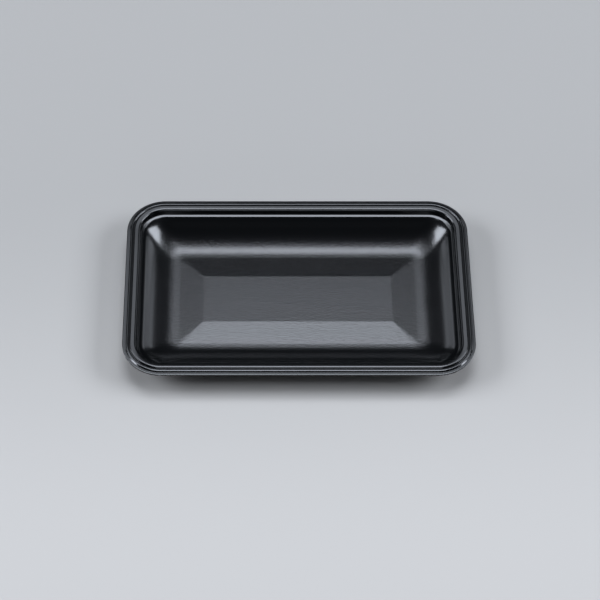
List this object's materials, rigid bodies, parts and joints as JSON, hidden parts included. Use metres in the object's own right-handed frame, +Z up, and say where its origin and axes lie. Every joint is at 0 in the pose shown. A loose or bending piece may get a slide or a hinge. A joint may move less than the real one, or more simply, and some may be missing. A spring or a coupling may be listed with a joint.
{
  "type": "food tray",
  "caption": "Shallow rectangular food tray with rounded corners, a beaded rim, a lid ledge, sloping walls and a raised faceted floor.",
  "frame": {"origin": "middle of the tray in plan, on the surface that it stands on", "axes": "+X along the tray's long side, +Y across it, +Z up out of its mouth"},
  "size_m": [0.22, 0.1376, 0.0185],
  "materials": {
    "tray_sheet": "black thermoformed polystyrene sheet, glossy on the rim and walls, finely pebbled on the floor"
  },
  "bodies": {
    "root": {"tray": "tray_sheet"}
  },
  "joints": []
}
